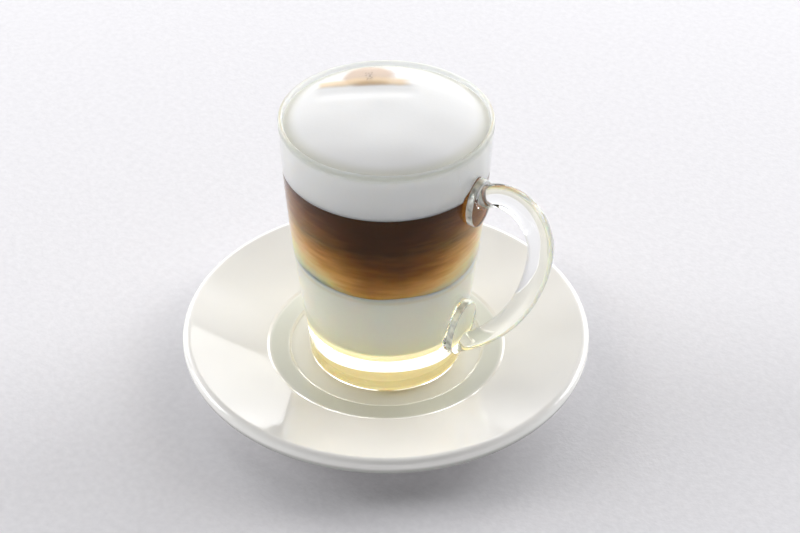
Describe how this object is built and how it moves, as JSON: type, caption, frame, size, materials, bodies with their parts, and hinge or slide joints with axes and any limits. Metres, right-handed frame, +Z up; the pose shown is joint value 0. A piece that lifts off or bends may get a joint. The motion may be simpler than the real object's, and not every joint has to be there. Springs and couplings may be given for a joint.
{
  "type": "layered latte in a glass mug on a saucer",
  "caption": "Clear glass mug with a bent rod handle, filled with white milk, a caramel-coloured mixed layer, dark coffee and a domed milk foam, standing on a round white porcelain saucer.",
  "frame": {"origin": "centre of the saucer's foot ring on the table", "axes": "+Z up along the axis of mug and saucer, +X from the mug's axis through its handle"},
  "size_m": [0.16, 0.16, 0.1171],
  "materials": {
    "porcelain": "smooth gloss glaze",
    "clear_glass": "clear polished glass",
    "milk": "opaque liquid seen through glass",
    "mixed_coffee_milk": "cloudy liquid, dark above and pale below",
    "coffee": "dark liquid seen through glass",
    "milk_foam": "fine moist foam"
  },
  "bodies": {
    "root": {"saucer": "porcelain", "glass_mug": "clear_glass", "milk": "milk", "mixed_layer": "mixed_coffee_milk", "coffee": "coffee", "foam": "milk_foam"}
  },
  "joints": []
}
